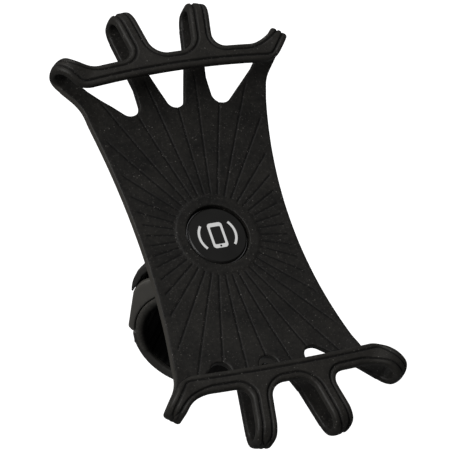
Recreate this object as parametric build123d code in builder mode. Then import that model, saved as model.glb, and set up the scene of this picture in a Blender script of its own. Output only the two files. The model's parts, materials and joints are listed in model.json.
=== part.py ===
from build123d import *
from math import cos, pi, radians, sin, sqrt
import os

os.makedirs("parts", exist_ok=True)

# Phone handlebar mount: a silicone web that grips a phone by its corners, on a plate that turns
# and leans on a ball joint above a hinged ratchet clamp. Millimetres. The origin is the centre of
# the handlebar bore. +Z is the web's outward normal, +Y its long way and +X its short way.

# ---- how the holder stands over the clamp ----------------------------------------------------
lean = 25.4  # between the clamp's upright axis and the web's normal
lean_bearing = 10.7  # of the horizontal axis that it leans about, from +X
bore_bearing = 51.7  # of the handlebar before the lean, from +X
ball_height = 24.6  # ball centre above the bore centre
ball_drop = 15.2  # ball centre below the web's top face

# ---- silicone web ----------------------------------------------------------------------------
sheet_thickness = 2.6
sheet_radius = 259.0  # the sheet curls up towards both ends
waist_half = 25.2  # half the web's width at its middle
shoulder_half, shoulder_y = 30.1, 43.0  # where the outer fingers begin
inner_root, inner_splay, inner_reach = (7.5, 44.0), 10.5, 31.0
outer_root, outer_splay, outer_reach = (24.5, 44.5), 40.4, 21.0
inner_loop_width, outer_loop_width = 6.5, 5.7
loop_radius = 4.75  # of the strap's middle line round the turn at a loop's tip
loop_low = 4.7  # middle line's height under the turn, above the sheet's centre
bar_half, bar_end_y, bar_end_z = 31.0, 52.75, 13.0
bar_middle_y, bar_middle_z = 53.9, 14.2
bar_width, bar_depth = 6.1, 2.8

# ---- hub of the web --------------------------------------------------------------------------
hub_thickness = 3.4  # of the web round its hub
recess_radius, recess_depth = 10.17, 2.2
hub_hole_radius = 5.8
hub_screw_circle, hub_screws = 7.9, 3
cap_radius, cap_thickness, cap_sink = 9.5, 0.9, 0.25
ring_thickness = 0.95
plate_radius, plate_thickness = 13.4, 3.0

# ---- ball joint ------------------------------------------------------------------------------
ball_radius = 5.5
neck_radius = 2.9
spigot_radius = 2.45
running = 0.05  # radial clearance of a turning fit
collet_radius, collet_top = 6.9, 2.6
collar_radius = 8.6
nut_radius, nut_low, nut_high = 11.3, -3.6, 4.4  # heights from the ball's centre

# ---- clamp -----------------------------------------------------------------------------------
bar_radius = 14.3  # of the tube that the clamp closes on
liner_radius = 15.7  # outside of the rubber liner
flange_radius = 18.0  # of the liner's rims
half_width = 11.0  # of the clamp along the handlebar
side_x = 19.9  # flat side of the clamp body at the hinge
foot_x, cheek_x, cheek_z = 20.3, 19.25, 13.5  # lever side: foot, and corner under the shoulder
shoulder_radius = 24.6  # of the body's rounded shoulders
body_top, body_foot = 20.5, -2.0
toe = 1.5  # chamfer of the body's foot on the lever's side
cheek_inside = 9.0  # half the channel between the cheeks
hinge_x, hinge_z = 24.8, -4.4
knuckle_radius = 4.2
knuckle_half = 5.7
jaw_half = 9.4
jaw_drop, jaw_in, jaw_out = 1.0, 16.3, 19.4
tail_in, tail_out = 42.3, 43.7  # radii about the hinge
tail_half = 8.5
tooth_depth, tooth_step = 0.6, 2.2
lever_x, lever_z = -16.6, 15.2
lever_half = 8.6
pin_reach = 10.1  # of the lever's pin each way, which ends inside the cheeks
arm_in, arm_out = 8.4, 10.6  # of the lever's two arms, along the handlebar

# ---- directions and working planes -----------------------------------------------------------
origin = (0, 0, 0)
lean_axis = Axis(origin, (cos(radians(lean_bearing)), sin(radians(lean_bearing)), 0))
up = Vector(0, 0, 1).rotate(lean_axis, -lean)
bore = Vector(cos(radians(bore_bearing)), sin(radians(bore_bearing)), 0).rotate(lean_axis, -lean)
across = bore.cross(up)
ball_centre = up * ball_height

side = Plane(origin=origin, x_dir=across, z_dir=bore * -1)  # local x across, local y up
face = Plane(origin=ball_centre + Vector(0, 0, ball_drop), x_dir=(1, 0, 0), z_dir=(0, 0, 1))
holder_side = Plane(origin=face.origin, x_dir=(0, 1, 0), z_dir=(1, 0, 0))
stem = Plane(origin=ball_centre, x_dir=(1, 0, 0), z_dir=(0, -1, 0))  # section of the ball stud
socket = Plane(origin=ball_centre, x_dir=across, z_dir=bore * -1)  # section of the socket
socket_axis = Axis(ball_centre, up)
stem_axis = Axis(ball_centre, (0, 0, 1))


def crown(height):
    """The level plane of the clamp at a height above the bore's centre."""
    return Plane(origin=up * height, x_dir=across, z_dir=up)


def ring_sector(centre, r_in, r_out, start, end):
    """Draw a ring's sector, from one bearing to another in degrees, in the open sketch."""
    span = end - start
    with BuildLine() as outline:
        outside = CenterArc(centre, r_out, start, span)
        inside = CenterArc(centre, r_in, start, span)
        Line(outside @ 0, inside @ 0)
        Line(outside @ 1, inside @ 1)
    make_face(outline.edges())


def finish(part, label):
    """Name a finished piece and write it."""
    part.label = label
    export_step(part, f"parts/{label}.step")
    print(f"{label:16s} {part.volume:9.1f} mm3")


# ==== silicone web ============================================================================
reach_y = 56.0
sheet_rise = sheet_radius - sqrt(sheet_radius**2 - reach_y**2)
under_radius = sheet_radius + sheet_thickness
under_rise = under_radius - sqrt(under_radius**2 - reach_y**2) - sheet_thickness

with BuildPart() as silicone_web:
    # the curled sheet, cut to the plan outline
    with BuildSketch(holder_side):
        with BuildLine():
            top = ThreePointArc((-reach_y, sheet_rise), (0, 0), (reach_y, sheet_rise))
            low = ThreePointArc((-reach_y, under_rise), (0, -sheet_thickness), (reach_y, under_rise))
            Line(top @ 0, low @ 0)
            Line(top @ 1, low @ 1)
        make_face()
    extrude(amount=40, both=True)
    with BuildSketch(face):
        with BuildLine():
            waist = ThreePointArc((waist_half, 0), (26.45, 21.5), (shoulder_half, shoulder_y))
            flare = ThreePointArc(waist @ 1, (31.2, 47.4), (33.7, 51.0))
            outer_end = Line(flare @ 1, (27.7, 52.5))
            outer_wall = Line(outer_end @ 1, (18.4, 44.1))
            side_notch = ThreePointArc(outer_wall @ 1, (15.4, 42.8), (12.2, 45.7))
            inner_wall = Line(side_notch @ 1, (12.4, 54.0))
            inner_end = Line(inner_wall @ 1, (5.6, 54.0))
            middle_wall = Line(inner_end @ 1, (3.0, 45.8))
            middle_notch = ThreePointArc(middle_wall @ 1, (2.1, 44.3), (0, 43.5))
            Line(middle_notch @ 1, (0, 0))
            Line((0, 0), waist @ 0)
        make_face()
        mirror(about=Plane.YZ)
        mirror(about=Plane.XZ)
    extrude(amount=12, both=True, mode=Mode.INTERSECT)
    # hub pad, its recess and its holes
    with BuildSketch(face.offset(-hub_thickness)):
        Circle(plate_radius)
    extrude(amount=hub_thickness - 1)
    with BuildSketch(face.offset(-recess_depth)):
        Circle(recess_radius)
    extrude(amount=5, mode=Mode.SUBTRACT)
    with BuildSketch(face.offset(-5)):
        Circle(hub_hole_radius)
        with PolarLocations(hub_screw_circle, hub_screws, 90):
            Circle(1.1)
    extrude(amount=5, mode=Mode.SUBTRACT)
    # eight finger loops
    loops = [
        (inner_root, inner_splay, inner_reach, inner_loop_width, 8.6),
        (outer_root, outer_splay, outer_reach, outer_loop_width, 9.6),
    ]
    for (root_x, root_y), splay, reach, width, back in loops:
        root_z = root_y**2 / (2 * sheet_radius) - sheet_thickness / 2
        turn = reach - loop_radius - sheet_thickness / 2
        for sx in (-1, 1):
            for sy in (-1, 1):
                along = Vector(sx * sin(radians(splay)), sy * cos(radians(splay)), 0)
                foot = face.origin + Vector(sx * root_x, sy * root_y, 0)
                wall = Plane(origin=foot, x_dir=along, z_dir=along.cross(Vector(0, 0, 1)))
                with BuildSketch(wall):
                    with BuildLine():
                        Line((0, root_z), (turn, loop_low))
                        CenterArc((turn, loop_low + loop_radius), loop_radius, -90, 180)
                        Line((turn, loop_low + 2 * loop_radius), (back, bar_middle_z - 0.3))
                    trace(line_width=sheet_thickness)
                extrude(amount=width / 2, both=True)
    # crossbars, bowed outwards and upwards
    for sy in (-1, 1):
        with BuildLine(face):
            bow = ThreePointArc(
                (-bar_half, sy * bar_end_y, bar_end_z),
                (0, sy * bar_middle_y, bar_middle_z),
                (bar_half, sy * bar_end_y, bar_end_z),
            )
        start = bow % 0
        with BuildSketch(Plane(origin=bow @ 0, x_dir=start.cross(Vector(0, 0, 1)), z_dir=start)):
            RectangleRounded(bar_width, bar_depth, 1.0)
        sweep(path=bow)

finish(silicone_web.part, "silicone_web")

# ==== front cap, its emblem and the hub's plates ==============================================
with BuildPart() as front_cap:
    with BuildSketch(face.offset(-cap_sink)):
        Circle(cap_radius)
    extrude(amount=-cap_thickness)
    chamfer(front_cap.edges().group_by(Axis.Z)[-1], 0.5)
    # snap skirt
    with BuildSketch(face.offset(-cap_sink - cap_thickness)):
        Circle(5.4)
        Circle(4.5, mode=Mode.SUBTRACT)
    extrude(amount=-0.95)
    # seat of the emblem
    with BuildSketch(face.offset(-cap_sink)) as emblem_outline:
        RectangleRounded(5.0, 8.6, 1.1)
        RectangleRounded(3.4, 6.0, 0.4, mode=Mode.SUBTRACT)
        with Locations((0, -3.65)):
            Circle(0.35, mode=Mode.SUBTRACT)
        for bearing in (-40, 140):
            ring_sector((0, 0), 5.6, 6.4, bearing, bearing + 80)
    extrude(amount=-0.3, mode=Mode.SUBTRACT)
finish(front_cap.part, "front_cap")

with BuildPart() as cap_emblem:
    add(emblem_outline.sketch)
    extrude(amount=-0.3)
finish(cap_emblem.part, "cap_emblem")

with BuildPart() as retaining_ring:
    with BuildSketch(face.offset(-recess_depth)):
        Circle(9.7)
        Circle(5.7, mode=Mode.SUBTRACT)
    extrude(amount=ring_thickness)
    with Locations(face.offset(-recess_depth + ring_thickness)):
        with PolarLocations(hub_screw_circle, hub_screws, 90):
            CounterSinkHole(radius=0.95, counter_sink_radius=1.6, counter_sink_angle=90)
finish(retaining_ring.part, "retaining_ring")

plate_top = -hub_thickness
plate_foot = plate_top - plate_thickness
well_depth = 2.4  # of the counterbore for the pivot screw, below the boss

with BuildPart() as hub_plate:
    with BuildSketch(face.offset(plate_foot)):
        Circle(plate_radius)
    extrude(amount=plate_thickness)
    chamfer(hub_plate.edges().group_by(Axis.Z)[0], 1.0)
    with BuildSketch(face.offset(plate_top)):
        Circle(5.5)
    extrude(amount=hub_thickness - recess_depth)
    with BuildSketch(face.offset(-recess_depth)):
        Circle(4.4)
    extrude(amount=-well_depth, mode=Mode.SUBTRACT)
    with BuildSketch(face.offset(plate_foot)):
        Circle(spigot_radius + running)
        with PolarLocations(hub_screw_circle, hub_screws, 90):
            Circle(0.82)
    extrude(amount=plate_thickness + 1, mode=Mode.SUBTRACT)
finish(hub_plate.part, "hub_plate")

with BuildPart() as plate_screws:
    head_top = -recess_depth + ring_thickness
    with BuildSketch(face.offset(plate_foot + 0.3)):
        with PolarLocations(hub_screw_circle, hub_screws, 90):
            Circle(0.8)
    extrude(amount=head_top - plate_foot - 0.4)
    for i in range(hub_screws):
        bearing = radians(90 + 360 / hub_screws * i)
        spot = face.origin + Vector(cos(bearing), sin(bearing), 0) * hub_screw_circle
        head = spot + Vector(0, 0, head_top)
        with BuildSketch(Plane(origin=head, x_dir=(1, 0, 0), z_dir=(0, -1, 0))):
            with BuildLine():
                Polyline((0, 0), (1.5, 0), (0.8, -0.7), (0, -0.7), close=True)
            make_face()
        revolve(axis=Axis(spot, (0, 0, 1)))
        with BuildSketch(Plane(origin=head, x_dir=(1, 0, 0), z_dir=(0, 0, 1))):
            Rectangle(1.6, 0.35)
            Rectangle(0.35, 1.6)
        extrude(amount=-0.35, mode=Mode.SUBTRACT)
finish(plate_screws.part, "plate_screws")

# ==== ball stud with its pivot screw and washers ==============================================
flange_top = ball_drop + plate_foot - running  # heights here are from the ball's centre
well_floor = ball_drop - recess_depth - well_depth
spigot_top = well_floor - 0.1

with BuildPart() as ball_stud:
    with BuildSketch(stem):
        with BuildLine():
            neck_foot = (neck_radius, sqrt(ball_radius**2 - neck_radius**2))
            bottom = (0, -ball_radius)
            outline = ThreePointArc(bottom, (ball_radius, 0), neck_foot)
            Polyline(
                outline @ 1,
                (neck_radius, flange_top - 1.6),
                (4.2, flange_top - 0.9),
                (4.2, flange_top),
                (spigot_radius, flange_top),
                (spigot_radius, spigot_top),
                (0, spigot_top),
                bottom,
            )
        make_face()
    revolve(axis=stem_axis)
    with BuildSketch(face.offset(spigot_top - ball_drop)):
        Circle(1.3)
    extrude(amount=-6.5, mode=Mode.SUBTRACT)
finish(ball_stud.part, "ball_stud")

with BuildPart() as wave_washer:
    with BuildSketch(face.offset(well_floor - ball_drop + 0.05)):
        Circle(4.0)
        Circle(1.8, mode=Mode.SUBTRACT)
    extrude(amount=0.5)
finish(wave_washer.part, "wave_washer")

with BuildPart() as flat_washer:
    with BuildSketch(face.offset(well_floor - ball_drop + 0.58)):
        Circle(4.0)
        Circle(1.6, mode=Mode.SUBTRACT)
    extrude(amount=0.5)
finish(flat_washer.part, "flat_washer")

with BuildPart() as pivot_screw:
    head_foot = well_floor - ball_drop + 1.1
    with BuildSketch(face.offset(head_foot)):
        Circle(2.7)
    extrude(amount=1.3)
    fillet(pivot_screw.edges().group_by(Axis.Z)[-1], 0.6)
    with BuildSketch(face.offset(head_foot + 1.3)):
        Rectangle(2.6, 0.6)
        Rectangle(0.6, 2.6)
    extrude(amount=-0.8, mode=Mode.SUBTRACT)
    with BuildSketch(face.offset(head_foot)):
        Circle(1.25)
    extrude(amount=-6.5)
finish(pivot_screw.part, "pivot_screw")

# ==== collet that grips the ball ==============================================================
sphere_radius = ball_radius + 0.1
collet_floor = ball_height - sphere_radius - 0.6  # above the bore's centre

with BuildPart() as friction_collet:
    with BuildSketch(socket):
        with BuildLine():
            rim = (sqrt(sphere_radius**2 - collet_top**2), collet_top)
            floor_hole = (2.2, -sqrt(sphere_radius**2 - 2.2**2))
            bowl = ThreePointArc(rim, (sphere_radius * cos(0.4), -sphere_radius * sin(0.4)), floor_hole)
            Polyline(
                bowl @ 1,
                (2.2, collet_floor - ball_height),
                (collet_radius, collet_floor - ball_height),
                (collet_radius, 0),
                (6.2, collet_top),
                rim,
            )
        make_face()
    revolve(axis=socket_axis)
    # slots that let its four fingers close
    with BuildSketch(crown(ball_height + collet_top)):
        Rectangle(16, 0.9)
        Rectangle(0.9, 16)
    extrude(amount=-4.5, mode=Mode.SUBTRACT)
finish(friction_collet.part, "friction_collet")

# ==== clamp body ==============================================================================
arch_radius = liner_radius + 0.1
shoulder_x = sqrt(shoulder_radius**2 - body_top**2)
shoulder_foot = sqrt(shoulder_radius**2 - side_x**2)
shoulder_mid = shoulder_radius * sin(pi / 4)

with BuildPart() as clamp_body:
    # block with flat sides, rounded shoulders and a flat top
    with BuildSketch(side):
        with BuildLine():
            left = ThreePointArc(
                (-cheek_x, cheek_z), (-shoulder_mid, shoulder_mid), (-shoulder_x, body_top)
            )
            right = ThreePointArc(
                (shoulder_x, body_top), (shoulder_mid, shoulder_mid), (side_x, shoulder_foot)
            )
            Line(left @ 1, right @ 0)
            Polyline(right @ 1, (side_x, 4.0), (hinge_x + knuckle_radius, hinge_z), (13.0, hinge_z))
            Polyline(
                (13.0, hinge_z),
                (13.0, body_foot),
                (-foot_x + toe, body_foot),
                (-foot_x, body_foot + toe),
                left @ 0,
            )
        make_face()
        with Locations((hinge_x, hinge_z)):
            Circle(knuckle_radius)
    extrude(amount=half_width, both=True)
    # saddle for the liner, and seats for its rims
    with BuildSketch(side):
        Circle(arch_radius)
    extrude(amount=half_width, both=True, mode=Mode.SUBTRACT)
    for s in (-1, 1):
        with BuildSketch(side.offset(s * half_width)):
            Circle(flange_radius + 0.12)
        extrude(amount=-s * 1.3, mode=Mode.SUBTRACT)
    # room for the jaw's knuckle and band at the hinge
    with BuildSketch(side):
        with Locations((hinge_x, hinge_z)):
            Circle(knuckle_radius + 0.6)
        with Locations((hinge_x, hinge_z - 5)):
            Rectangle(2 * knuckle_radius + 1.2, 10)
    extrude(amount=knuckle_half + 0.3, both=True, mode=Mode.SUBTRACT)
    with BuildSketch(side):
        with Locations((13.0 + 2.5, body_foot - 2)):
            Rectangle(5.2, 4)
    extrude(amount=half_width, both=True, mode=Mode.SUBTRACT)
    # channel between the cheeks, for the jaw's tail and the lever
    with BuildSketch(side):
        with BuildLine():
            channel_radius = tail_in - 0.4
            low_angle = -2.0
            high_angle = 25.5
            wall = CenterArc((hinge_x, hinge_z), channel_radius, 180 - high_angle, high_angle - low_angle)
            Polyline(wall @ 0, (-11.8, body_top + 1), (-30, body_top + 1), (-30, -12), wall @ 1)
        make_face()
    extrude(amount=cheek_inside, both=True, mode=Mode.SUBTRACT)
    # threaded collar and the socket for the collet
    with BuildSketch(crown(body_top)):
        Circle(collar_radius)
    extrude(amount=ball_height + 0.2 - body_top)
    with BuildSketch(crown(collet_floor - 0.1)):
        Circle(collet_radius + 0.1)
    extrude(amount=10, mode=Mode.SUBTRACT)
    # a through hole for the hinge pin, and a blind one for the lever pin
    with BuildSketch(side):
        with Locations((hinge_x, hinge_z)):
            Circle(1.52)
    extrude(amount=half_width, both=True, mode=Mode.SUBTRACT)
    with BuildSketch(side):
        with Locations((lever_x, lever_z)):
            Circle(0.92)
    extrude(amount=pin_reach + 0.1, both=True, mode=Mode.SUBTRACT)
finish(clamp_body.part, "clamp_body")

# ==== locking nut =============================================================================
with BuildPart() as lock_nut:
    with BuildSketch(socket):
        with BuildLine():
            Polyline(
                (collar_radius + 0.15, nut_low),
                (nut_radius - 0.5, nut_low),
                (nut_radius, nut_low + 0.5),
                (nut_radius, 0.8),
                (8.6, nut_high),
                (6.35, nut_high),
                (6.35, collet_top + 0.2),
                (7.0, 0.4),
                (collar_radius + 0.15, 0.4),
                close=True,
            )
        make_face()
    revolve(axis=socket_axis)
    # scalloped grip
    grips = 14
    with BuildSketch(crown(ball_height + nut_low)):
        with PolarLocations(nut_radius + 1.3, grips):
            Circle(1.9)
    extrude(amount=5.4, mode=Mode.SUBTRACT)
finish(lock_nut.part, "lock_nut")

# ==== rubber liners ===========================================================================
liner_start, liner_end = -33.5, 213.5
ribs = 14

with BuildPart() as upper_liner:
    with BuildSketch(side):
        ring_sector((0, 0), bar_radius, liner_radius, liner_start, liner_end)
    extrude(amount=half_width, both=True)
    for s in (-1, 1):
        with BuildSketch(side.offset(s * half_width)):
            ring_sector((0, 0), liner_radius - 0.2, flange_radius, liner_start, liner_end)
        extrude(amount=-s * 1.2)
    # grooves along the handlebar
    with BuildSketch(side):
        pitch = (liner_end - liner_start) / ribs
        with PolarLocations(bar_radius, ribs, liner_start + pitch / 2, liner_end - liner_start):
            Rectangle(1.3, 1.0)
    extrude(amount=half_width, both=True, mode=Mode.SUBTRACT)
finish(upper_liner.part, "upper_liner")

with BuildPart() as jaw_liner:
    pad_out = jaw_in - 0.05
    with BuildSketch(side):
        ring_sector((0, -jaw_drop), pad_out - 1.2, pad_out, 216, 324)
    extrude(amount=jaw_half - 1.0, both=True)
    with BuildSketch(side):
        with Locations((0, -jaw_drop)):
            with PolarLocations(pad_out - 1.2, 12, 220.5, 108):
                Rectangle(1.0, 1.3)
    extrude(amount=half_width, both=True, mode=Mode.SUBTRACT)
finish(jaw_liner.part, "jaw_liner")

# ==== hinged jaw with its toothed tail ========================================================
teeth = 7
tail_top = 23.3  # bearing of the tail's end, above the hinge's level
tooth_angle = tooth_step / tail_out * 180 / pi

with BuildPart() as lower_jaw:
    with BuildSketch(side):
        ring_sector((0, -jaw_drop), jaw_in, jaw_out, 188, 343)
    extrude(amount=jaw_half, both=True)
    with BuildSketch(side):
        ring_sector((hinge_x, hinge_z), tail_in, tail_out, 180 - tail_top, 186)
    extrude(amount=tail_half, both=True)
    # saw teeth on the tail's outer face
    with BuildSketch(side):
        for i in range(teeth):
            bearing = radians(180 - tail_top + 1.2 + tooth_angle * i)
            tip = (hinge_x + tail_out * cos(bearing), hinge_z + tail_out * sin(bearing))
            step = (-sin(bearing) * tooth_step * 0.8, cos(bearing) * tooth_step * 0.8)
            depth = (-cos(bearing) * tooth_depth, -sin(bearing) * tooth_depth)
            lift = (cos(bearing) * 0.5, sin(bearing) * 0.5)
            with BuildLine():
                Polyline(
                    (tip[0] + lift[0], tip[1] + lift[1]),
                    (tip[0] + depth[0], tip[1] + depth[1]),
                    (tip[0] + step[0], tip[1] + step[1]),
                    (tip[0] + step[0] + lift[0], tip[1] + step[1] + lift[1]),
                    close=True,
                )
            make_face()
    extrude(amount=tail_half - 1.5, both=True, mode=Mode.SUBTRACT)
    # knuckle
    with BuildSketch(side):
        with Locations((hinge_x, hinge_z)):
            Circle(knuckle_radius)
        with BuildLine():
            Polyline(
                (15.0, -8.2),
                (hinge_x - 2.6, hinge_z + 1.0),
                (hinge_x + 1.5, hinge_z - 3.3),
                (15.8, -12.3),
                close=True,
            )
        make_face()
    extrude(amount=knuckle_half, both=True)
    with BuildSketch(side):
        with Locations((hinge_x, hinge_z)):
            Circle(1.56)
        Circle(arch_radius + 0.3)
    extrude(amount=knuckle_half + 1, both=True, mode=Mode.SUBTRACT)
finish(lower_jaw.part, "lower_jaw")

with BuildPart() as hinge_pin:
    with BuildSketch(side):
        with Locations((hinge_x, hinge_z)):
            Circle(1.5)
    extrude(amount=half_width - 0.2, both=True)
    chamfer(hinge_pin.edges().filter_by(GeomType.CIRCLE), 0.25)
finish(hinge_pin.part, "hinge_pin")

# ==== release lever, its pin and its spring ===================================================
with BuildPart() as release_lever:
    # rocker between the cheeks, from its pawl up to the thumb bar
    with BuildSketch(side):
        with BuildLine():
            ThreePointArc((-16.9, 16.5), (-16.6, 20.2), (-15.2, 24.2))
        trace(line_width=1.6)
        with Locations((lever_x, lever_z)):
            Circle(2.0)
        with BuildLine():
            Polyline(
                (-18.9, 12.2),
                (-16.4, 12.0),
                (lever_x + 1.6, lever_z - 1.2),
                (lever_x, lever_z),
                (-17.2, 17.0),
                (-18.9, 14.4),
                close=True,
            )
        make_face()
    extrude(amount=lever_half, both=True)
    # thumb bar
    with BuildSketch(side):
        with Locations((-15.5, 24.1)):
            Circle(1.1)
    extrude(amount=arm_out, both=True)
    # two curved arms that come down from the thumb bar over the cheeks' shoulders, and end in
    # thin tips beside them
    for s in (-1, 1):
        with BuildSketch(side.offset(s * arm_in)):
            with BuildLine():
                outer = ThreePointArc((-19.85, 13.9), (-19.1, 19.9), (-16.0, 25.1))
                inner = ThreePointArc((-14.95, 23.3), (-17.05, 20.2), (-18.5, 16.7))
                Line(outer @ 1, inner @ 0)
                Polyline(inner @ 1, (-19.4, 13.9), outer @ 0)
            make_face()
        extrude(amount=s * (arm_out - arm_in))
    with BuildSketch(side):
        with Locations((lever_x, lever_z)):
            Circle(0.96)
    extrude(amount=half_width, both=True, mode=Mode.SUBTRACT)
finish(release_lever.part, "release_lever")

with BuildPart() as lever_pin:
    with BuildSketch(side):
        with Locations((lever_x, lever_z)):
            Circle(0.9)
    extrude(amount=pin_reach, both=True)
finish(lever_pin.part, "lever_pin")

spring_z, spring_from, spring_to = 18.9, -12.8, -15.7  # height, and reach across the clamp

with BuildPart() as lever_spring:
    with BuildLine():
        coil = Helix(
            pitch=1.2,
            height=spring_from - spring_to,
            radius=1.2,
            center=across * spring_from + up * spring_z,
            direction=across * -1,
        )
    with BuildSketch(Plane(origin=coil @ 0, z_dir=coil % 0)):
        Circle(0.2)
    sweep(path=coil, is_frenet=True)
finish(lever_spring.part, "lever_spring")
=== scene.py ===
import json
import math

import bpy
import numpy as np
import openvdb
from mathutils import Matrix, Vector


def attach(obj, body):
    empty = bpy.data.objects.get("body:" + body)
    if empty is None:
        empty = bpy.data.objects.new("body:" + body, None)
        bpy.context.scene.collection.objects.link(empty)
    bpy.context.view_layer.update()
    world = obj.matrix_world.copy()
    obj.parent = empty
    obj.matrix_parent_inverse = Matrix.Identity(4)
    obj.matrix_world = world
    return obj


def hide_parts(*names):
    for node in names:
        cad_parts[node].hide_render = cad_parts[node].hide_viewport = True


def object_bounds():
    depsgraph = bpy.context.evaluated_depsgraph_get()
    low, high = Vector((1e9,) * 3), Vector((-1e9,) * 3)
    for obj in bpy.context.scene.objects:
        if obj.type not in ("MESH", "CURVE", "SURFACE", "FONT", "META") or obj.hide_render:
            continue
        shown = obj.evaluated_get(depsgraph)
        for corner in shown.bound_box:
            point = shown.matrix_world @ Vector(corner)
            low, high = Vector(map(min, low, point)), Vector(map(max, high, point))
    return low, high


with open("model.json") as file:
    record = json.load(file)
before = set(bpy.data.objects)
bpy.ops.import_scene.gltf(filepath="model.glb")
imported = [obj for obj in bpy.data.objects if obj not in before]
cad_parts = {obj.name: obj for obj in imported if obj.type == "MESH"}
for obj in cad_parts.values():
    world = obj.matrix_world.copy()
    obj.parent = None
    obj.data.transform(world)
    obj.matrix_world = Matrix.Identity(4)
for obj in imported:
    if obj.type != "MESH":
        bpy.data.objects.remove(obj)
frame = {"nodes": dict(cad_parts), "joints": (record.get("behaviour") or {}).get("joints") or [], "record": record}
cad_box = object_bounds()

# Looks of the phone handlebar mount. The web, its loops and its crossbars are drawn as one
# distance field and meshed. The moulded plastic and rubber pieces of the clamp are the CAD nodes
# with softened edges, and the other pieces are the CAD nodes as they are.

MM = 0.001

# ---- places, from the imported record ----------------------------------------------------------
mounts = {m["name"]: m for m in frame["record"]["mounts"]}
joints = {j["name"]: j for j in frame["joints"]}
face_centre = np.array(mounts["phone_seat"]["pos_m"]) / MM  # centre of the web's top face
up = Vector(joints["ball_turn"]["axis"]).normalized()
bore = Vector(mounts["handlebar_clamp"]["axis"]).normalized()
across = bore.cross(up)
side_frame = np.array([across, up, bore])  # rows: across the clamp, up, and along the handlebar

# ---- camera: the photograph's viewing angle --------------------------------------------------
CAMERA_BEARING = -46.06  # degrees round +Z, from -Y
CAMERA_HEIGHT = 56.95  # degrees above the horizon
CAMERA_ROLL = 31.59
CAMERA_DISTANCE = 1.166  # metres
CAMERA_LENS, CAMERA_SENSOR = 304.7, 36.0  # mm
CAMERA_AIM = Vector((2.46, 1.96, 1.95))  # mm, from the centre of the web's top face


def direction(bearing, height):
    """From the object outwards, at a bearing round +Z and a height, both in degrees."""
    b, h = math.radians(bearing), math.radians(height)
    return Vector((math.sin(b) * math.cos(h), -math.cos(b) * math.cos(h), math.sin(h)))


def make_camera():
    back = direction(CAMERA_BEARING, CAMERA_HEIGHT)
    data = bpy.data.cameras.new("camera")
    data.lens, data.sensor_width = CAMERA_LENS, CAMERA_SENSOR
    data.clip_start, data.clip_end = 0.1, 20.0
    camera = bpy.data.objects.new("camera", data)
    aim = (Vector(face_centre) + CAMERA_AIM) * MM
    turn = (-back).to_track_quat("-Z", "Y").to_matrix().to_4x4()
    roll = Matrix.Rotation(math.radians(CAMERA_ROLL), 4, "Z")
    camera.matrix_world = Matrix.Translation(aim + back * CAMERA_DISTANCE) @ turn @ roll
    bpy.context.scene.collection.objects.link(camera)
    bpy.context.scene.camera = camera


# ---- silicone web: sizes in mm, in its own frame (origin at the centre of the top face) ------
SHEET = 2.6  # thickness of the sheet and of the straps
SHEET_RADIUS = 259.0  # of the sheet's curl along Y
WAIST, SIDE_RADIUS = 25.2, 187.4  # half-width at the middle, and the radius of the hollow side
FINGER_Y = 56.5  # where the sheet has ended and the fingers go on alone
MIDDLE_NOTCH = (0.0, 46.6)  # centre of its round bottom
MIDDLE_NOTCH_R, MIDDLE_NOTCH_SPLAY = 3.1, 17.5  # radius there, and each side's angle from +Y
SIDE_NOTCH = (15.6, 46.2)
SIDE_NOTCH_R, SIDE_NOTCH_SPLAY = 3.35, 47.8  # radius there, and the outer side's angle from +Y
HUB_RADIUS, HUB_DEPTH = 13.4, 3.4
HUB_SUNK = 0.2  # how far the hub's thick pad stays under the top face
RECESS_RADIUS, RECESS_DEPTH = 10.17, 2.2
SPIGOT_HOLE = 5.8
BAR_R = 420.0  # of the crossbar's bow in plan
BAR_Y, BAR_END = 53.9, 31.0  # of its middle line: place on the Y axis, and half its length
BAR_WIDTH, BAR_CORNER = 6.1, 3.0
BAR_Z, BAR_SAG = 14.2, 1.2  # middle height of a bar, and how much lower its ends are
UPPER = 2.7  # thickness of the bars and upper straps
LOOP_R, LOOP_LOW = 4.75, 4.7  # middle line of the turn, and its lowest height
FINGERS = [
    # root, angle from +Y, reach from the root to the tip, strap's half width, round of its tip,
    # and fillet between its sides and the crossbar
    {"root": (7.5, 44.0), "splay": 10.5, "reach": 31.0, "half": 3.25, "tip": 2.3, "fillet": 4.6},
    {"root": (24.5, 44.5), "splay": 40.4, "reach": 21.0, "half": 2.85, "tip": 2.0, "fillet": 4.2},
]
RAYS = 40  # incised lines of the sunburst
RAY_START, RAY_END = 13.6, 56.0  # from the centre
RAY_MARGIN = 2.2  # from the sheet's side
RAY_WIDTH, RAY_DEPTH = 0.6, 0.24
RAY_SHADE = 0.7  # width of the painted shade along a ray's bottom
HUB_STEP = 0.14  # how much the smooth ring round the cap stands up
STRAP_RIDGE = 0.16  # how much a strap's middle stands up between its two lines
SHEET_ROUND, STRAP_ROUND, HUB_ROUND = 0.55, 0.9, 0.5  # rounding of the rims
SIDE_BLEND, HUB_BLEND = 1.3, 0.8  # of the outer straps and of the hub into the sheet
STRAP_START = 6.0  # how far from its root a lower strap begins, inside the sheet
OVERLAP = 0.4  # of a loop's turn with its straight runs
WEB_STEP, WEB_STEP_COARSE = 0.3, 0.5  # of the grid that the web is sampled on
WEB_HALF_X, WEB_HALF_Y = 41.0, 77.0  # of the box that holds the web
WEB_LOW, WEB_HIGH = -4.4, 17.0
WEB_PULLS = 3  # times that its mesh is pulled onto the exact surface
LEAD = -1, 4  # how far from its root the sheet takes a finger's height
BESIDE = -6.5, -3.6  # how near the finger's middle line it does, counted as negative
BAR_LEAD, BAR_BESIDE = 6, 5  # how far before a turn, and beside a strap, a bar takes its height
TURN_RELIEF = 0.9, 0.2  # how far under a turn's middle its lines start and are full, in its radii
SIDES_WORN_AND_LIT, BARS_PALER = 0.8, 0.16  # share of the paler colour on the sheet's sides, partly wear and partly a painted highlight, and on the bars
TIP_PULL = 0.9  # how far a loop's tip narrows towards its end, as a share of a full round
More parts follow.
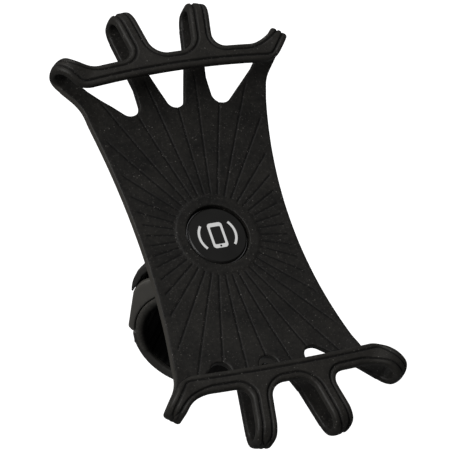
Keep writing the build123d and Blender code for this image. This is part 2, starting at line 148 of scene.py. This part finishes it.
STRAP_LINE, STRAP_LINE_WIDTH, STRAP_LINE_DEPTH = 1.85, 0.85, 0.42  # groove beside a strap's edge

# ---- clamp: sizes in mm ----------------------------------------------------------------------
EASED = {  # how far each moulded piece's sharp edges are rounded
    "clamp_body": 0.3,
    "lower_jaw": 0.3,
    "release_lever": 0.14,
    "lock_nut": 0.25,
    "hub_plate": 0.25,
    "upper_liner": 0.4,
    "jaw_liner": 0.3,
}
DARKER = {  # pieces that are darker than the others of their material, and their finish
    "lower_jaw": "jaw_plastic",
    "release_lever": "jaw_plastic",
    "jaw_liner": "dark_rubber",
}
EASED_STEP = 0.32  # of the grid that the moulded pieces are remade on
FLAT_MERGING = 0.02  # from 0 to 1, how readily flat stretches get larger faces
RIM_INSIDE, RIM_OUTSIDE = 14.9, 17.9  # radii between which the liner goes over from the painted shade inside the bore into its worn rim
# the lever's side ribs: points of the middle line, across the clamp and up, and half the thickness
LEVER_RIB = [(-19.6, 14.1, 0.32), (-18.9, 17.0, 0.76), (-17.9, 19.9, 0.85)]
RIB_INSIDE, RIB_OUTSIDE = 7.0, 10.5  # where they start and end along the handlebar, on either side

# ---- finishes --------------------------------------------------------------------------------
MOULDED = {  # darkest and lightest colour, roughness and, on the dull rubber, gloss
    "moulded_plastic": ((0.064, 0.061, 0.054), (0.078, 0.074, 0.066), 0.5),
    "jaw_plastic": ((0.021, 0.020, 0.018), (0.027, 0.026, 0.023), 0.5),
    # the jaw liner's near black is partly dark rubber and partly painted shade inside the bore
    "dark_rubber": ((0.0015, 0.0014, 0.0013), (0.003, 0.0028, 0.0026), 0.8, 0.1),
    "cap_plastic": ((0.0040, 0.0037, 0.0032), (0.0065, 0.0060, 0.0052), 0.45),
    "nylon": ((0.024, 0.023, 0.022), (0.03, 0.029, 0.028), 0.4),
    "emblem_white": ((0.84, 0.84, 0.83), (0.88, 0.88, 0.87), 0.35),
}
METALS = {  # colour and roughness
    "steel": ((0.6, 0.6, 0.61), 0.32),
    "black_steel": ((0.03, 0.03, 0.031), 0.4),
    "spring_steel": ((0.45, 0.44, 0.43), 0.28),
}


def smooth(value, low, high):
    """0 below low, 1 above high, and a smooth step between them."""
    t = np.clip((value - low) / (high - low), 0, 1)
    return t * t * (3 - 2 * t)


def round_union(a, b, radius):
    """Union of two distances, with a fillet of that radius in the corner between them."""
    u, v = np.maximum(radius - a, 0), np.maximum(radius - b, 0)
    return np.maximum(radius, np.minimum(a, b)) - np.hypot(u, v)


def round_corner(a, b, radius):
    """Intersection of two distances, with the corner between them rounded to that radius."""
    u, v = np.maximum(radius + a, 0), np.maximum(radius + b, 0)
    return np.minimum(-radius, np.maximum(a, b)) + np.hypot(u, v)


def soft_min(a, b, blend):
    """Union of two distances that go over into each other within about blend."""
    h = np.clip(0.5 + 0.5 * (b - a) / blend, 0, 1)
    return b * (1 - h) + a * h - blend * h * (1 - h)


def slab(lift, edge, half, rounding, relief=0):
    """Distance to a plate. lift is the height over its middle, and edge the distance to its
    outline; relief raises its upper side."""
    over = np.where(lift > 0, lift - half - relief, -lift - half) + rounding
    side = edge + rounding
    outside = np.hypot(np.maximum(over, 0), np.maximum(side, 0))
    return outside + np.minimum(np.maximum(over, side), 0) - rounding


def wedge(x, y, centre, radius, start, end):
    """Distance to a notch with a round bottom and straight walls at bearings start and end."""
    px, py = x - centre[0], y - centre[1]
    middle, half = math.radians((start + end) / 2), math.radians((end - start) / 2)
    off = np.abs(np.arctan2(px, py) - middle)
    off = np.minimum(off, 2 * math.pi - off)
    return np.hypot(px, py) * np.sin(np.minimum(off - half, math.pi / 2)) - radius


def along_finger(finger, x, y):
    """How far a point is along a finger from its root, and beside its middle line."""
    b = math.radians(finger["splay"])
    px, py = x - finger["root"][0], y - finger["root"][1]
    return px * math.sin(b) + py * math.cos(b), px * math.cos(b) - py * math.sin(b)


def turn_of(finger):
    """How far along a finger its half turn starts."""
    return finger["reach"] - LOOP_R - SHEET / 2


def side_edge(x, y):
    """Distance to the sheet's hollow side."""
    return SIDE_RADIUS - np.hypot(x - WAIST - SIDE_RADIUS, y)


def lower_outline(x, y):
    """Plan of the sheet and of the lower runs of the fingers."""
    sides = [along_finger(finger, x, y)[1] - finger["half"] for finger in FINGERS]
    sheet = np.maximum(soft_min(side_edge(x, y), sides[1], SIDE_BLEND), y - FINGER_Y)
    splay = MIDDLE_NOTCH_SPLAY
    middle = wedge(x, y, MIDDLE_NOTCH, MIDDLE_NOTCH_R, -splay, splay)
    side = wedge(x, y, SIDE_NOTCH, SIDE_NOTCH_R, 0, SIDE_NOTCH_SPLAY)
    edge = np.maximum(np.maximum(sheet, -middle), -side)
    for finger in FINGERS:
        run, beside = along_finger(finger, x, y)
        strap = np.maximum(np.abs(beside) - finger["half"], STRAP_START - run)
        edge = np.minimum(edge, strap)
    return edge


def upper_outline(x, y):
    """Plan of the crossbar and of the upper runs of the fingers. The bar's inner edge is even, and
    its outer edge goes over into the straps with fillets."""
    from_bow = np.hypot(x, y - BAR_Y + BAR_R) - BAR_R
    edge = from_bow - BAR_WIDTH / 2
    for finger in FINGERS:
        side = np.abs(along_finger(finger, x, y)[1]) - finger["half"]
        edge = round_union(edge, side, finger["fillet"])
    edge = np.maximum(edge, along_finger(FINGERS[1], x, y)[1] - FINGERS[1]["half"])
    return round_corner(edge, -from_bow - BAR_WIDTH / 2, BAR_CORNER)


def lower_height(x, y):
    """Middle height of the sheet, which goes over into straight fingers."""
    height = y**2 / (2 * SHEET_RADIUS) - SHEET / 2
    for finger in FINGERS:
        run, beside = along_finger(finger, x, y)
        root = finger["root"][1] ** 2 / (2 * SHEET_RADIUS) - SHEET / 2
        line = root + (LOOP_LOW - root) * run / turn_of(finger)
        share = smooth(run, *LEAD) * smooth(-np.abs(beside), *BESIDE)
        height = height + (line - height) * share
    return height


def upper_height(x, y):
    """Middle height of the crossbar, which goes over into the straps."""
    height = BAR_Z - BAR_SAG * (x / BAR_END) ** 2
    for finger in FINGERS:
        run, beside = along_finger(finger, x, y)
        share = smooth(run, turn_of(finger) - BAR_LEAD, turn_of(finger))
        share = share * smooth(-np.abs(beside), -finger["half"] - BAR_BESIDE, -finger["half"])
        height = height + (LOOP_LOW + 2 * LOOP_R - height) * share
    return height


def line_profile(distance, width):
    """1 at the bottom of an incised line, 0 outside it."""
    t = np.clip(1 - np.abs(distance) / (width / 2), 0, 1)
    return t * (2 - t)


def strap_relief(edge):
    """A raised middle ridge between two lines that follow the strap's edges."""
    line = line_profile(edge + STRAP_LINE, STRAP_LINE_WIDTH)
    return STRAP_RIDGE * smooth(-edge, STRAP_LINE, STRAP_LINE + 0.5) - STRAP_LINE_DEPTH * line


def rays_shown(x, y):
    """1 where the sheet carries the sunburst, 0 on the hub and along the sides."""
    radius = np.hypot(x, y)
    shown = smooth(radius, RAY_START, RAY_START + 0.5) * smooth(-radius, -RAY_END, -RAY_END + 3)
    return shown * smooth(-side_edge(x, y), RAY_MARGIN, RAY_MARGIN + 0.6)


def ray_relief(x, y):
    """Depth of the sunburst's lines at a point of the sheet, and its smooth hub annulus."""
    radius = np.hypot(x, y)
    bearing = np.arctan2(y, x)
    step = 2 * math.pi / RAYS
    off = radius * np.sin(bearing - np.round(bearing / step) * step)
    hub = HUB_STEP * smooth(-radius, -RAY_START, -RAY_START + 0.6)
    return hub - RAY_DEPTH * line_profile(off, RAY_WIDTH) * rays_shown(x, y)


def loop_turn(finger, x, y, z):
    """The half turn at a finger's tip, from its lower run to its upper one."""
    run, beside = along_finger(finger, x, y)
    past = run - turn_of(finger)
    middle = LOOP_LOW + LOOP_R
    lift = np.hypot(np.maximum(past, 0), z - middle) - LOOP_R
    tip = LOOP_R + SHEET / 2 - finger["tip"]
    pulled = np.clip((past - tip) / finger["tip"], 0, 1)
    half = finger["half"] - finger["tip"] * (1 - np.sqrt(1 - pulled**2)) * TIP_PULL
    edge = np.abs(beside) - half
    from_bar = np.hypot(x, y - BAR_Y + BAR_R) - BAR_R - BAR_WIDTH / 2
    above = smooth(z, middle, middle + LOOP_R)
    joined = np.maximum(round_union(from_bar, edge, finger["fillet"]), beside - half)
    edge = edge + (joined - edge) * above
    start, full = (middle - LOOP_R * share for share in TURN_RELIEF)
    relief = strap_relief(edge) * smooth(z, start, full)
    half_thick = SHEET / 2 + (UPPER - SHEET) / 2 * above
    return np.maximum(slab(lift, edge, half_thick, STRAP_ROUND, relief), -OVERLAP - past)


def web_shades(x, y, z):
    """Shares of painted colour: painted shade in its straps' lines and in its sunburst, and a paler colour on the
    sheet's sides, partly wear and partly a painted highlight, and on the bars.
    """
    x, y = np.abs(x), np.abs(y)
    lines = line_profile(upper_outline(x, y) + STRAP_LINE, STRAP_LINE_WIDTH)
    over = smooth(z, LOOP_LOW + LOOP_R, LOOP_LOW + LOOP_R + 1.5)
    below = z - lower_height(x, y) - SHEET / 2
    # the sheet's side walls are paler, partly with wear and partly with a painted highlight
    sides = smooth(side_edge(x, y), -0.5, -0.15) * smooth(-below, 0.0, 0.5)
    return {
        "lines": lines * over,
        "rays": rays_shown(x, y) * (np.abs(below) < 0.6),
        "worn_and_lit": np.maximum(SIDES_WORN_AND_LIT * sides, BARS_PALER * over),
    }


def web_distance(x, y, z):
    """Signed distance, in mm, to the silicone web."""
    x, y = np.abs(x), np.abs(y)
    cut = np.maximum(*(along_finger(f, x, y)[0] - turn_of(f) for f in FINGERS))
    low_edge = lower_outline(x, y)
    low = slab(z - lower_height(x, y), low_edge, SHEET / 2, SHEET_ROUND, ray_relief(x, y))
    radius = np.hypot(x, y)
    pad_half = HUB_DEPTH / 2 - HUB_SUNK / 2
    pad = slab(z + HUB_DEPTH - pad_half, radius - HUB_RADIUS, pad_half, HUB_ROUND)
    low = soft_min(low, pad, HUB_BLEND)
    high_edge = upper_outline(x, y)
    relief = strap_relief(high_edge)
    high = slab(z - upper_height(x, y), high_edge, UPPER / 2, STRAP_ROUND, relief)
    shape = np.maximum(np.minimum(low, high), cut)
    for finger in FINGERS:
        shape = np.minimum(shape, loop_turn(finger, x, y, z))
    recess = np.maximum(radius - RECESS_RADIUS, -RECESS_DEPTH - z)
    hole = radius - SPIGOT_HOLE
    return np.maximum(shape, -np.minimum(recess, hole))


def mesh_object(name, points, faces):
    """A smooth mesh object from points in mm in the frame's axes."""
    mesh = bpy.data.meshes.new(name)
    mesh.from_pydata([], [], [])
    mesh.clear_geometry()
    mesh.vertices.add(len(points))
    mesh.vertices.foreach_set("co", (np.asarray(points, np.float32) * MM).ravel())
    corners = np.concatenate([np.asarray(f) for f in faces]).astype(np.int32)
    mesh.loops.add(len(corners))
    mesh.loops.foreach_set("vertex_index", corners)
    starts = np.concatenate([[0], np.cumsum([len(f) for f in faces])[:-1]]).astype(np.int32)
    mesh.polygons.add(len(faces))
    mesh.polygons.foreach_set("loop_start", starts)
    mesh.update(calc_edges=True)
    mesh.validate()
    mesh.polygons.foreach_set("use_smooth", np.full(len(mesh.polygons), True))
    made = bpy.data.objects.new(name, mesh)
    bpy.context.scene.collection.objects.link(made)
    return made


def polygons_of(field, lowest, step, merging=0.0):
    """The zero surface of a sampled field, as points in mm and a list of faces."""
    band = 3.0 * step
    grid = openvdb.FloatGrid(band)
    grid.copyFromArray(np.ascontiguousarray(np.clip(field, -band, band), np.float32))
    points, triangles, quads = grid.convertToPolygons(isovalue=0.0, adaptivity=merging)
    return points * step + np.array(lowest), list(triangles) + list(quads)


def blurred(field, sigma):
    """The field smoothed by a Gaussian of that many cells, so that edges and corners round off."""
    reach = int(math.ceil(2.5 * sigma))
    weights = np.exp(-0.5 * (np.arange(-reach, reach + 1) / sigma) ** 2)
    weights = weights / weights.sum()
    for axis in range(3):
        padded = np.pad(field, [(reach, reach) if a == axis else (0, 0) for a in range(3)], "edge")
        size = field.shape[axis]
        field = sum(
            w * np.take(padded, range(i, i + size), axis=axis) for i, w in enumerate(weights)
        )
    return field


def lever_ribs(places):
    """Distance to the two ribs that join the lever's arms to its rocker."""
    x, z, along = np.moveaxis(places @ side_frame.T, -1, 0)
    nearest = np.full(x.shape, np.inf)
    for (x0, z0, r0), (x1, z1, r1) in zip(LEVER_RIB, LEVER_RIB[1:]):
        length = (x1 - x0) ** 2 + (z1 - z0) ** 2
        t = np.clip(((x - x0) * (x1 - x0) + (z - z0) * (z1 - z0)) / length, 0, 1)
        off = np.hypot(x - x0 - t * (x1 - x0), z - z0 - t * (z1 - z0))
        nearest = np.minimum(nearest, off - r0 - t * (r1 - r0))
    along = np.abs(along)
    return np.maximum(nearest, np.maximum(RIB_INSIDE - along, along - RIB_OUTSIDE))


def softened(part, radius, extra=None):
    """A copy of a CAD node whose sharp moulded edges are eased by about radius mm. extra gives
    the distance to a shape that is added to it."""
    mesh = part.data
    mesh.calc_loop_triangles()
    corners = np.empty(len(mesh.vertices) * 3, np.float32)
    mesh.vertices.foreach_get("co", corners)
    to_world = np.array(part.matrix_world)
    corners = corners.reshape(-1, 3) @ to_world[:3, :3].T + to_world[:3, 3]
    triangles = np.empty(len(mesh.loop_triangles) * 3, np.int32)
    mesh.loop_triangles.foreach_get("vertices", triangles)
    size = EASED_STEP * 1.0
    grid = openvdb.FloatGrid.createLevelSetFromPolygons(
        corners / MM,
        triangles=triangles.reshape(-1, 3).astype(np.uint32),
        transform=openvdb.createLinearTransform(voxelSize=size),
        halfWidth=4.0,
    )
    low, high = (np.array(c) for c in grid.evalActiveVoxelBoundingBox())
    field = np.empty(high - low + 1, np.float32)
    grid.copyToArray(field, ijk=tuple(int(c) for c in low))
    if extra:
        places = np.moveaxis(np.indices(field.shape), 0, -1) + low
        field = np.minimum(field, extra(places * size)).astype(np.float32)
    field = blurred(field, radius / size)
    points, faces = polygons_of(field, low * size, size, FLAT_MERGING)
    return mesh_object(part.name + "_looks", points, faces)


def slope_of_web(points, probe=0.02):
    """The web field's gradient at points, from values a little to either side of them."""
    return np.stack(
        [
            (web_distance(*(points + probe * axis).T) - web_distance(*(points - probe * axis).T))
            / (2 * probe)
            for axis in np.eye(3)
        ],
        1,
    )


def make_web():
    """The web, meshed in one quarter of its box, mirrored, and pulled onto the exact surface."""
    step = WEB_STEP
    xs = (np.arange(int(WEB_HALF_X / step)) + 0.5) * step
    ys = (np.arange(int(WEB_HALF_Y / step)) + 0.5) * step
    zs = np.arange(WEB_LOW, WEB_HIGH, step)
    field = web_distance(
        xs[:, None, None].astype(np.float32),
        ys[None, :, None].astype(np.float32),
        zs[None, None, :].astype(np.float32),
    )
    field = np.concatenate([field[::-1], field], 0)
    field = np.concatenate([field[:, ::-1], field], 1)
    points, faces = polygons_of(field, (-xs[-1], -ys[-1], WEB_LOW), step)
    for _ in range(WEB_PULLS):
        slope = slope_of_web(points)
        size = np.maximum((slope**2).sum(1), 0.25)
        move = (web_distance(*points.T) / size)[:, None] * slope
        points = points - np.clip(move, -0.3 * step, 0.3 * step)
    web = mesh_object("silicone_web_looks", points + face_centre, faces)
    for name, share in web_shades(*points.T).items():
        shade = web.data.attributes.new(name, "FLOAT", "POINT")
        shade.data.foreach_set("value", share.astype(np.float32))
    return web


# ---- materials -------------------------------------------------------------------------------
def node(tree, kind, inputs=(), **settings):
    made = tree.nodes.new(kind)
    for name, value in settings.items():
        setattr(made, name, value)
    for name, value in dict(inputs).items():
        if isinstance(value, bpy.types.NodeSocket):
            tree.links.new(value, made.inputs[name])
        else:
            made.inputs[name].default_value = value
    return made


def new_material(name):
    material = bpy.data.materials.new(name)
    material.use_nodes = True
    tree = material.node_tree
    tree.nodes.clear()
    out = tree.nodes.new("ShaderNodeOutputMaterial")
    shader = tree.nodes.new("ShaderNodeBsdfPrincipled")
    tree.links.new(shader.outputs[0], out.inputs[0])
    return material, tree, shader


def math_node(tree, operation, *values, **settings):
    inputs = dict(enumerate(values))
    return node(tree, "ShaderNodeMath", inputs, operation=operation, **settings).outputs[0]


def vector_math(tree, operation, *values):
    """The node itself, because its result is a vector in one socket or a length in the other."""
    inputs = dict(enumerate(values))
    return node(tree, "ShaderNodeVectorMath", inputs, operation=operation)


def noise(tree, place, scale, detail, roughness=0.5):
    inputs = {"Vector": place, "Scale": scale, "Detail": detail, "Roughness": roughness}
    return node(tree, "ShaderNodeTexNoise", inputs).outputs["Fac"]


def attribute(tree, name):
    return node(tree, "ShaderNodeAttribute", attribute_name=name).outputs["Fac"]


def between(tree, value, low, high):
    """A value from 0 to 1, spread over low to high."""
    inputs = {"Value": value, "To Min": low, "To Max": high}
    return node(tree, "ShaderNodeMapRange", inputs).outputs[0]


def ramp(tree, value, *stops):
    """The colour at a value, from stops of place and colour."""
    made = node(tree, "ShaderNodeValToRGB", {"Fac": value})
    for element, (place, colour) in zip(made.color_ramp.elements, stops):
        element.position = place
        element.color = (*colour, 1)
    return made.outputs[0]


def mixed(tree, share, colour, other):
    """A colour that goes over into another, which is fixed, by a share from 0 to 1."""
    made = node(tree, "ShaderNodeMix", data_type="RGBA")
    tree.links.new(share, made.inputs[0])
    tree.links.new(colour, made.inputs[6])
    made.inputs[7].default_value = (*other, 1)
    return made.outputs[2]


def grained(tree, shader, height, strength):
    """A fine grain on the surface, 0.1 mm high at the most."""
    inputs = {"Height": height, "Strength": strength, "Distance": 0.1 * MM}
    tree.links.new(node(tree, "ShaderNodeBump", inputs).outputs[0], shader.inputs["Normal"])


def ray_shade(tree, place):
    """1 along the bottoms of the sunburst's lines, where their painted shade goes."""
    offset = vector_math(tree, "SUBTRACT", place, tuple(face_centre * MM)).outputs[0]
    xyz = node(tree, "ShaderNodeSeparateXYZ", {0: offset})
    flat = node(tree, "ShaderNodeCombineXYZ", {0: xyz.outputs[0], 1: xyz.outputs[1]})
    radius = vector_math(tree, "LENGTH", flat.outputs[0]).outputs["Value"]
    bearing = math_node(tree, "ARCTAN2", xyz.outputs[1], xyz.outputs[0])
    step = 2 * math.pi / RAYS
    nearest = math_node(tree, "ROUND", math_node(tree, "DIVIDE", bearing, step))
    off = math_node(tree, "SUBTRACT", bearing, math_node(tree, "MULTIPLY", nearest, step))
    off = math_node(tree, "MULTIPLY", math_node(tree, "ABSOLUTE", off), radius)
    far = math_node(tree, "DIVIDE", off, RAY_SHADE / 2 * MM)
    near = math_node(tree, "SUBTRACT", 1.0, far, use_clamp=True)
    return math_node(tree, "MULTIPLY", math_node(tree, "POWER", near, 0.4), attribute(tree, "rays"))


def dusted(tree, place, colour, scale, size, rate, level):
    """The colour with round pale specks in the share 1 - rate of a cell pattern's cells."""
    cells = node(tree, "ShaderNodeTexVoronoi", {"Vector": place, "Scale": scale})
    dot = math_node(tree, "SUBTRACT", size, cells.outputs["Distance"])
    dot = math_node(tree, "MULTIPLY", dot, 9.0, use_clamp=True)
    drawn = node(tree, "ShaderNodeSeparateColor", {"Color": cells.outputs["Color"]}).outputs[0]
    few = math_node(tree, "GREATER_THAN", drawn, rate)
    pale = (level, 0.94 * level, 0.86 * level)
    return mixed(tree, math_node(tree, "MULTIPLY", dot, few), colour, pale)


def silicone():
    """Matt black rubber with a cloudy tint, painted shade in its incised lines, paler sides that are partly worn
    and partly a painted highlight, and fine pale dust.
    """
    black, charcoal = (0.0035, 0.0032, 0.0028), (0.0185, 0.0170, 0.0146)
    # the paler colour is partly wear and partly a painted highlight; the near black is painted shade for the
    # grooves
    rubbed_and_lit, groove_shade_colour = (0.052, 0.048, 0.041), (0.0012, 0.0011, 0.0010)
    material, tree, shader = new_material("silicone")
    place = node(tree, "ShaderNodeTexCoord").outputs["Object"]
    clouds, specks = noise(tree, place, 95.0, 5.0), noise(tree, place, 800.0, 3.0, 0.65)
    mottle = math_node(tree, "MULTIPLY", math_node(tree, "ADD", clouds, specks), 0.5)
    # painted shade along the bottoms of the strap lines and of the sunburst's rays
    groove = math_node(tree, "MAXIMUM", attribute(tree, "lines"), ray_shade(tree, place))
    colour = ramp(tree, mottle, (0.36, black), (0.66, charcoal))
    # paler on the sheet's sides, partly wear and partly a painted highlight, and a little paler on the bars
    colour = mixed(tree, attribute(tree, "worn_and_lit"), colour, rubbed_and_lit)
    # painted shade: the colour goes nearly black in the grooves
    colour = mixed(tree, math_node(tree, "MULTIPLY", groove, 0.96), colour, groove_shade_colour)
    colour = dusted(tree, place, colour, scale=1150.0, size=0.24, rate=0.93, level=0.12)
    colour = dusted(tree, place, colour, scale=2100.0, size=0.36, rate=0.8, level=0.045)
    tree.links.new(colour, shader.inputs["Base Color"])
    tree.links.new(between(tree, groove, 0.55, 0.95), shader.inputs["Roughness"])
    grained(tree, shader, noise(tree, place, 2300.0, 4.0), 0.45)
    shader.inputs["Specular IOR Level"].default_value = 0.3
    return material


def moulded(name, low, high, roughness, gloss=0.5):
    """Moulded plastic or rubber, whose colour and roughness vary a little over the surface."""
    material, tree, shader = new_material(name)
    place = node(tree, "ShaderNodeTexCoord").outputs["Object"]
    cloud = noise(tree, place, 140.0, 3.0)
    tree.links.new(ramp(tree, cloud, (0.3, low), (0.75, high)), shader.inputs["Base Color"])
    rough = between(tree, cloud, roughness - 0.06, roughness + 0.06)
    tree.links.new(rough, shader.inputs["Roughness"])
    grained(tree, shader, noise(tree, place, 3200.0, 2.0), 0.15)
    shader.inputs["Specular IOR Level"].default_value = gloss
    return material


def liner_rubber():
    """Ribbed rubber, greyer on its worn rims and going over into black inside the bore, which is partly dark
    rubber and partly painted shade.
    """
    # the black is partly dark rubber and partly painted shade inside the bore; the paler colour is the worn rim
    black, rubbed_and_lit = (0.0007, 0.0007, 0.0006), (0.055, 0.052, 0.046)
    material, tree, shader = new_material("liner_rubber")
    place = node(tree, "ShaderNodeTexCoord").outputs["Object"]
    sideways = vector_math(tree, "CROSS_PRODUCT", place, tuple(bore)).outputs[0]
    reach = {
        "Value": vector_math(tree, "LENGTH", sideways).outputs["Value"],
        "From Min": RIM_INSIDE * MM,
        "From Max": RIM_OUTSIDE * MM,
    }
    # the worn rim's paler colour falls off towards the inside as painted shading of the rounded lip and painted
    # shade in the bore
    rim = node(tree, "ShaderNodeMapRange", reach, interpolation_type="SMOOTHSTEP").outputs[0]
    grain = noise(tree, place, 1500.0, 4.0)
    worn_and_lit = math_node(tree, "MULTIPLY", rim, grain)
    tree.links.new(ramp(tree, worn_and_lit, (0.0, black), (0.62, rubbed_and_lit)), shader.inputs["Base Color"])
    grained(tree, shader, grain, 0.4)
    tree.links.new(between(tree, rim, 0.04, 0.3), shader.inputs["Specular IOR Level"])
    shader.inputs["Roughness"].default_value = 0.75
    return material


def metal(name, colour, roughness):
    """Metal with fine streaks, darker and smoother in places."""
    material, tree, shader = new_material(name)
    place = node(tree, "ShaderNodeTexCoord").outputs["Object"]
    streaks = noise(tree, place, 900.0, 4.0)
    shade = tuple(0.8 * c for c in colour)
    tree.links.new(ramp(tree, streaks, (0.0, shade), (1.0, colour)), shader.inputs["Base Color"])
    rough = between(tree, streaks, roughness - 0.08, roughness + 0.08)
    tree.links.new(rough, shader.inputs["Roughness"])
    shader.inputs["Metallic"].default_value = 1.0
    return material


def dress(piece, material):
    """Give a piece its material."""
    piece.data.materials.clear()
    piece.data.materials.append(material)


# ---- stage -----------------------------------------------------------------------------------
def make_stage():
    floor_drop, floor_half = 0.10, 3.0  # metres below the object, and half the floor's width
    lowest = cad_box[0].z - floor_drop
    mesh = bpy.data.meshes.new("floor")
    corners = [(-1, -1), (1, -1), (1, 1), (-1, 1)]
    corners = [(x * floor_half, y * floor_half, lowest) for x, y in corners]
    mesh.from_pydata(corners, [], [(0, 1, 2, 3)])
    floor = bpy.data.objects.new("floor", mesh)
    bpy.context.scene.collection.objects.link(floor)
    material, tree, shader = new_material("floor_paint")
    shader.inputs["Base Color"].default_value = (0.5, 0.5, 0.5, 1)
    shader.inputs["Roughness"].default_value = 0.9
    shader.inputs["Emission Color"].default_value = (1, 1, 1, 1)
    shader.inputs["Emission Strength"].default_value = 0.9
    floor.data.materials.append(material)
    floor.visible_diffuse = floor.visible_glossy = False


def soft_light(name, bearing, height, distance, size, power):
    """An area light that looks at the object from a bearing round +Z and a height, in degrees.
    Its distance and size are in metres."""
    back = direction(bearing, height)
    data = bpy.data.lights.new(name, "AREA")
    data.shape, data.size, data.energy = "DISK", size, power
    light = bpy.data.objects.new(name, data)
    aim = Vector(face_centre) * MM
    turn = (-back).to_track_quat("-Z", "Y").to_matrix().to_4x4()
    light.matrix_world = Matrix.Translation(aim + back * distance) @ turn
    bpy.context.scene.collection.objects.link(light)


def make_lights():
    world = bpy.data.worlds.new("studio")
    world.use_nodes = True
    world.node_tree.nodes["Background"].inputs["Color"].default_value = (1, 1, 1, 1)
    world.node_tree.nodes["Background"].inputs["Strength"].default_value = 0.14
    bpy.context.scene.world = world
    soft_light("key", bearing=-98, height=40, distance=1.6, size=0.9, power=18)
    soft_light("fill", bearing=195, height=45, distance=1.8, size=1.0, power=6)
    bpy.context.scene.view_settings.view_transform = "Standard"


make_camera()
make_lights()
make_stage()

silicone_finish = silicone()
web = make_web()
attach(web, "holder")
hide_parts("silicone_web")
dress(web, silicone_finish)

finishes = {name: moulded(name, *values) for name, values in MOULDED.items()}
finishes |= {name: metal(name, *values) for name, values in METALS.items()}
finishes["liner_rubber"] = liner_rubber()
bodies = {n: body for body, held in frame["record"]["behaviour"]["bodies"].items() for n in held}
for row in frame["record"]["subparts"]:
    name, slot = row["node"], row["material_slot"]
    if name == "silicone_web":
        continue
    part = frame["nodes"][name]
    if name in EASED:
        part = softened(part, EASED[name], lever_ribs if name == "release_lever" else None)
        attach(part, bodies[name])
        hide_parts(name)
    dress(part, finishes[DARKER.get(name, slot)])
